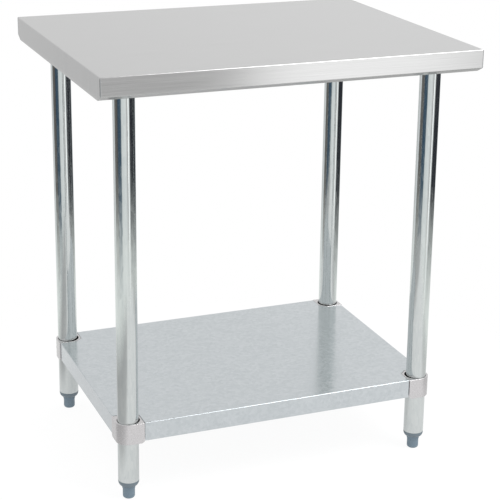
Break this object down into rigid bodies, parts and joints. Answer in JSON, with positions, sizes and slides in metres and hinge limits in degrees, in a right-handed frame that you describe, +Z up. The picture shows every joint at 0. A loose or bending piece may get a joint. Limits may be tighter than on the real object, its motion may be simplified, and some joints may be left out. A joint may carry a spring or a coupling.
{
  "type": "stainless work table",
  "caption": "Rectangular kitchen work table: stainless sheet top with turned-down edges, round tube legs, a galvanised undershelf held by cast corner brackets, and screw-in levelling feet.",
  "frame": {"origin": "on the floor, under the centre of the worktop", "axes": "+Z up, +X to the right along the front edge, front edge facing -Y"},
  "size_m": [0.762, 0.61, 0.864],
  "materials": {
    "stainless_sheet": "fine brushed stainless sheet, satin",
    "galvanised_sheet": "galvanised steel sheet, faint spangle, semi-matte",
    "galvanised_channel": "galvanised steel sheet, folded, semi-matte",
    "galvanised_tube": "galvanised round tube, glossy with faint spangle",
    "socket_casting": "zinc plated pressed steel",
    "bracket_casting": "cast aluminium, tumbled, satin",
    "foot_plastic": "moulded blue-grey plastic, satin",
    "zinc_fastener": "bright zinc plate"
  },
  "bodies": {
    "root": {"worktop": "stainless_sheet", "left_channel": "galvanised_channel", "right_channel": "galvanised_channel", "centre_stiffener": "galvanised_channel", "socket_set_screws": "zinc_fastener", "front_left_leg_socket": "socket_casting", "front_left_leg": "galvanised_tube", "front_left_foot_insert": "foot_plastic", "front_right_leg_socket": "socket_casting", "front_right_leg": "galvanised_tube", "front_right_foot_insert": "foot_plastic", "back_left_leg_socket": "socket_casting", "back_left_leg": "galvanised_tube", "back_left_foot_insert": "foot_plastic", "back_right_leg_socket": "socket_casting", "back_right_leg": "galvanised_tube", "back_right_foot_insert": "foot_plastic"},
    "shelf": {"undershelf": "galvanised_sheet", "shelf_stiffener": "galvanised_channel", "shelf_set_screws": "zinc_fastener", "front_left_shelf_bracket": "bracket_casting", "front_right_shelf_bracket": "bracket_casting", "back_left_shelf_bracket": "bracket_casting", "back_right_shelf_bracket": "bracket_casting"},
    "front_left_stud": {"front_left_foot_stud": "zinc_fastener"},
    "front_left_foot": {"front_left_foot": "foot_plastic"},
    "front_right_stud": {"front_right_foot_stud": "zinc_fastener"},
    "front_right_foot": {"front_right_foot": "foot_plastic"},
    "back_left_stud": {"back_left_foot_stud": "zinc_fastener"},
    "back_left_foot": {"back_left_foot": "foot_plastic"},
    "back_right_stud": {"back_right_foot_stud": "zinc_fastener"},
    "back_right_foot": {"back_right_foot": "foot_plastic"}
  },
  "joints": [
    {"name": "shelf_height", "type": "slide", "parent": "root", "child": "shelf", "axis": [0, 0, 1], "range_m": [-0.07, 0.6]},
    {"name": "front_left_foot_travel", "type": "slide", "parent": "root", "child": "front_left_stud", "axis": [0, 0, -1], "range_m": [0, 0.0245]},
    {"name": "front_left_foot_spin", "type": "hinge", "parent": "front_left_stud", "child": "front_left_foot", "pos_m": [-0.313, -0.221, 0], "axis": [0, 0, -1], "range_deg": [0, 5041]},
    {"name": "front_right_foot_travel", "type": "slide", "parent": "root", "child": "front_right_stud", "axis": [0, 0, -1], "range_m": [0, 0.0245]},
    {"name": "front_right_foot_spin", "type": "hinge", "parent": "front_right_stud", "child": "front_right_foot", "pos_m": [0.313, -0.221, 0], "axis": [0, 0, -1], "range_deg": [0, 5041]},
    {"name": "back_left_foot_travel", "type": "slide", "parent": "root", "child": "back_left_stud", "axis": [0, 0, -1], "range_m": [0, 0.0245]},
    {"name": "back_left_foot_spin", "type": "hinge", "parent": "back_left_stud", "child": "back_left_foot", "pos_m": [-0.313, 0.221, 0], "axis": [0, 0, -1], "range_deg": [0, 5041]},
    {"name": "back_right_foot_travel", "type": "slide", "parent": "root", "child": "back_right_stud", "axis": [0, 0, -1], "range_m": [0, 0.0245]},
    {"name": "back_right_foot_spin", "type": "hinge", "parent": "back_right_stud", "child": "back_right_foot", "pos_m": [0.313, 0.221, 0], "axis": [0, 0, -1], "range_deg": [0, 5041]}
  ],
  "couplings": [
    {"joint": "front_left_foot_spin", "follows": "front_left_foot_travel", "rad_per_m": 3590.4},
    {"joint": "front_right_foot_spin", "follows": "front_right_foot_travel", "rad_per_m": 3590.4},
    {"joint": "back_left_foot_spin", "follows": "back_left_foot_travel", "rad_per_m": 3590.4},
    {"joint": "back_right_foot_spin", "follows": "back_right_foot_travel", "rad_per_m": 3590.4}
  ]
}
